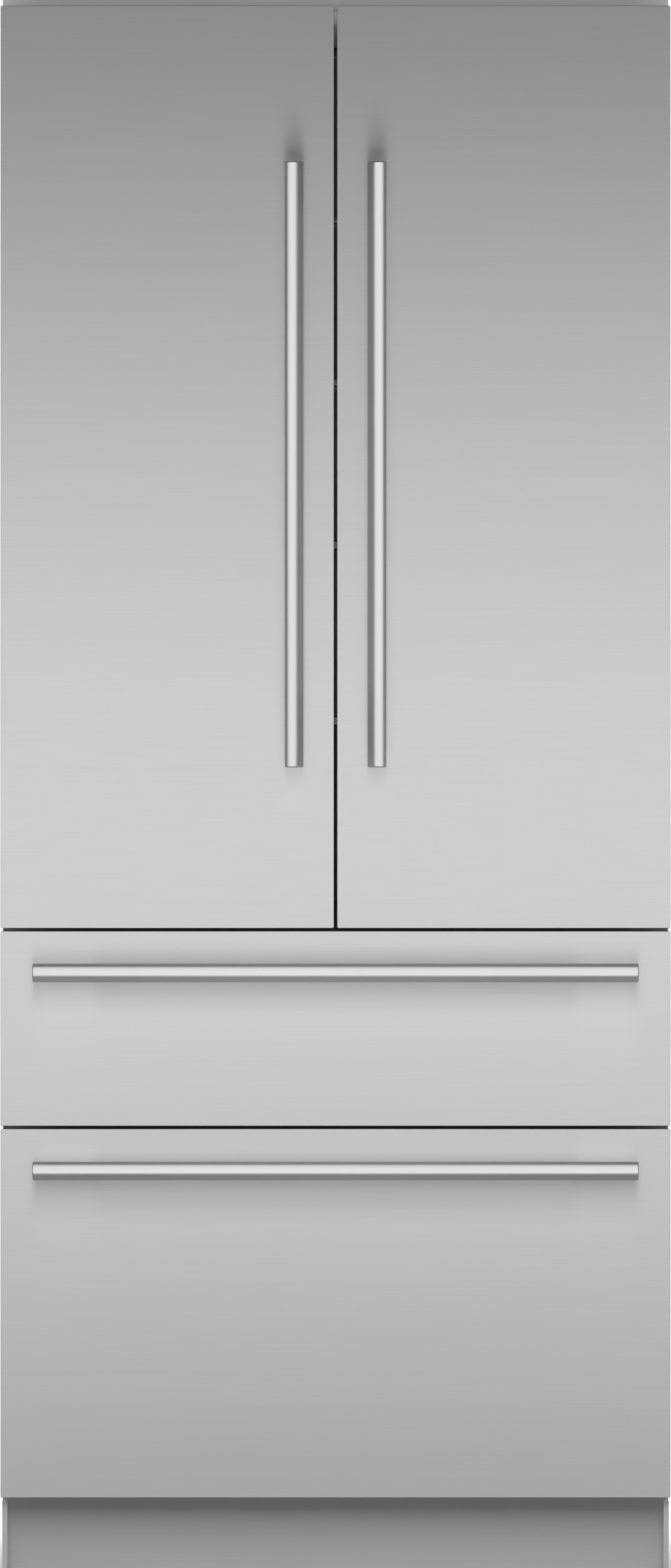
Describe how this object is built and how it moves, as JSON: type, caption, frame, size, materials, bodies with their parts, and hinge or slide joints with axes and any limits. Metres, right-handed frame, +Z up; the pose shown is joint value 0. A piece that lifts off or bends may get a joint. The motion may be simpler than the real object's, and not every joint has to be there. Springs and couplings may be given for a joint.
{
  "type": "built-in french door refrigerator",
  "caption": "Built-in french door refrigerator with steel fronts and bar handles: side-hinged doors over freezer drawers on telescopic slides, with shelves and bins inside.",
  "frame": {"origin": "floor level under the middle of the whole outline, handles included", "axes": "+Z up, -Y out of the fronts, +X to the right seen from the front"},
  "size_m": [0.908, 0.6916, 2.134],
  "materials": {
    "stainless": "satin",
    "cabinet_paint": "satin",
    "galvanised": "satin",
    "frame_grey": "satin",
    "white_liner": "satin",
    "slab_white": "satin",
    "foam": "matte",
    "seal_rubber": "matte",
    "glass": "gloss",
    "clear_plastic": "gloss",
    "trim_metal": "satin",
    "light_lens": "gloss",
    "black_glass": "gloss",
    "zinc_steel": "satin",
    "black_enamel": "satin",
    "fin_aluminium": "satin",
    "dark_plastic": "satin",
    "copper": "satin",
    "brass": "satin",
    "grey_rubber": "matte"
  },
  "bodies": {
    "cabinet": {"outer_shell": "cabinet_paint", "back_panel": "galvanised", "rear_cover": "galvanised", "base_frame": "zinc_steel", "levelling_feet": "zinc_steel", "toe_kick": "stainless", "front_frame": "frame_grey", "top_trim": "stainless", "fresh_food_liner": "white_liner", "freezer_liners": "white_liner", "cabinet_insulation": "foam", "shelf_glass": "glass", "shelf_frames": "trim_metal", "shelf_rails": "white_liner", "crisper_drawers": "clear_plastic", "air_duct": "white_liner", "light_bars": "light_lens", "control_panel": "black_glass", "evaporator_cover": "white_liner", "evaporator": "fin_aluminium", "ice_maker": "white_liner", "compressor": "black_enamel", "condenser": "black_enamel", "fan_shroud": "dark_plastic", "refrigerant_lines": "copper", "water_valve": "dark_plastic", "anti_tip_brackets": "zinc_steel", "hinge_brackets": "zinc_steel", "hinge_pins": "zinc_steel", "slide_outers": "zinc_steel"},
    "left_door": {"left_door_panel": "stainless", "left_door_slab": "slab_white", "left_door_gasket": "seal_rubber", "left_door_handle": "stainless", "left_door_bins": "clear_plastic", "left_hinge_bushes": "brass"},
    "right_door": {"right_door_panel": "stainless", "right_door_slab": "slab_white", "right_door_gasket": "seal_rubber", "right_door_handle": "stainless", "right_door_bins": "clear_plastic", "right_hinge_bushes": "brass"},
    "flipper": {"flipper_mullion": "frame_grey"},
    "upper_drawer": {"upper_drawer_panel": "stainless", "upper_drawer_slab": "slab_white", "upper_drawer_gasket": "seal_rubber", "upper_drawer_handle": "stainless", "upper_drawer_basket": "clear_plastic", "upper_slide_inners": "zinc_steel"},
    "upper_slides": {"upper_slide_middles": "zinc_steel"},
    "lower_drawer": {"lower_drawer_panel": "stainless", "lower_drawer_slab": "slab_white", "lower_drawer_gasket": "seal_rubber", "lower_drawer_handle": "stainless", "lower_drawer_basket": "clear_plastic", "lower_slide_inners": "zinc_steel"},
    "lower_slides": {"lower_slide_middles": "zinc_steel"},
    "condenser_fan": {"condenser_fan": "dark_plastic"},
    "evaporator_fan": {"evaporator_fan": "dark_plastic"},
    "rear_rollers": {"rear_rollers": "dark_plastic"}
  },
  "joints": [
    {"name": "left_door_hinge", "type": "hinge", "parent": "cabinet", "child": "left_door", "pos_m": [-0.42, -0.25215, 1.497], "axis": [0, 0, -1], "range_deg": [0, 115]},
    {"name": "right_door_hinge", "type": "hinge", "parent": "cabinet", "child": "right_door", "pos_m": [0.42, -0.25215, 1.497], "axis": [0, 0, 1], "range_deg": [0, 115]},
    {"name": "upper_drawer_slide", "type": "slide", "parent": "cabinet", "child": "upper_drawer", "axis": [0, -1, 0], "range_m": [0, 0.4]},
    {"name": "lower_drawer_slide", "type": "slide", "parent": "cabinet", "child": "lower_drawer", "axis": [0, -1, 0], "range_m": [0, 0.4]},
    {"name": "upper_middle_slide", "type": "slide", "parent": "cabinet", "child": "upper_slides", "axis": [0, -1, 0], "range_m": [0, 0.2]},
    {"name": "lower_middle_slide", "type": "slide", "parent": "cabinet", "child": "lower_slides", "axis": [0, -1, 0], "range_m": [0, 0.2]},
    {"name": "mullion_fold", "type": "hinge", "parent": "left_door", "child": "flipper", "pos_m": [-0.0145, -0.19895, 1.491], "axis": [0, 0, -1], "range_deg": [0, 90]},
    {"name": "condenser_fan_spin", "type": "hinge", "parent": "cabinet", "child": "condenser_fan", "pos_m": [-0.14, 0.2501, 0.183], "axis": [1, 0, 0], "continuous": true},
    {"name": "evaporator_fan_spin", "type": "hinge", "parent": "cabinet", "child": "evaporator_fan", "pos_m": [0, 0.26, 0.499], "axis": [0, 1, 0], "continuous": true},
    {"name": "roller_spin", "type": "hinge", "parent": "cabinet", "child": "rear_rollers", "pos_m": [0, 0.29985, 0.02], "axis": [1, 0, 0], "continuous": true}
  ],
  "couplings": [
    {"joint": "upper_middle_slide", "follows": "upper_drawer_slide", "ratio": 0.5},
    {"joint": "lower_middle_slide", "follows": "lower_drawer_slide", "ratio": 0.5}
  ]
}
